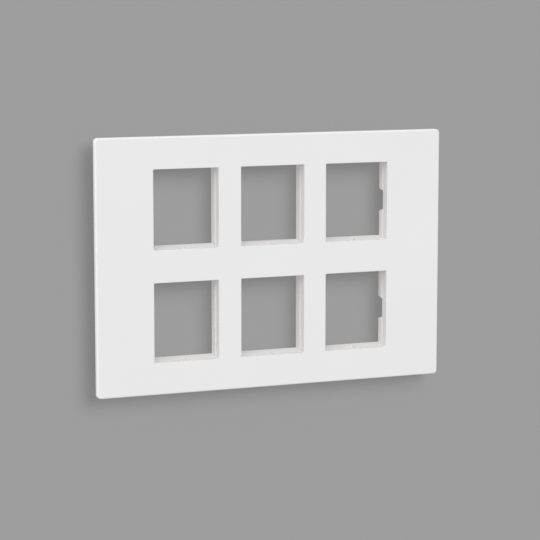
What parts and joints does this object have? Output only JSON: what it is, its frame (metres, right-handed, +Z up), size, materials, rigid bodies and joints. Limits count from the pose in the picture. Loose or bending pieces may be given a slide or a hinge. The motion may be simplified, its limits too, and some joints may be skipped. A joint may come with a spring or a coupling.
{
  "type": "grid switch plate",
  "caption": "White rectangular grid switch plate: a flat press-on cover over a moulded mounting grid with rows of empty module windows, lug notches and slotted screw holes.",
  "frame": {"origin": "middle of the plate on the wall plane, at the centre of the four screw slots", "axes": "+X to the right seen from the front, +Z up, -Y out of the front face, +Y into the wall"},
  "size_m": [0.211, 0.0116, 0.1458],
  "materials": {
    "cover_plate": "fine satin gloss moulded white plastic",
    "grid_frame": "plain moulded white plastic"
  },
  "bodies": {
    "root": {"cover_plate": "cover_plate", "grid_frame": "grid_frame"}
  },
  "joints": []
}
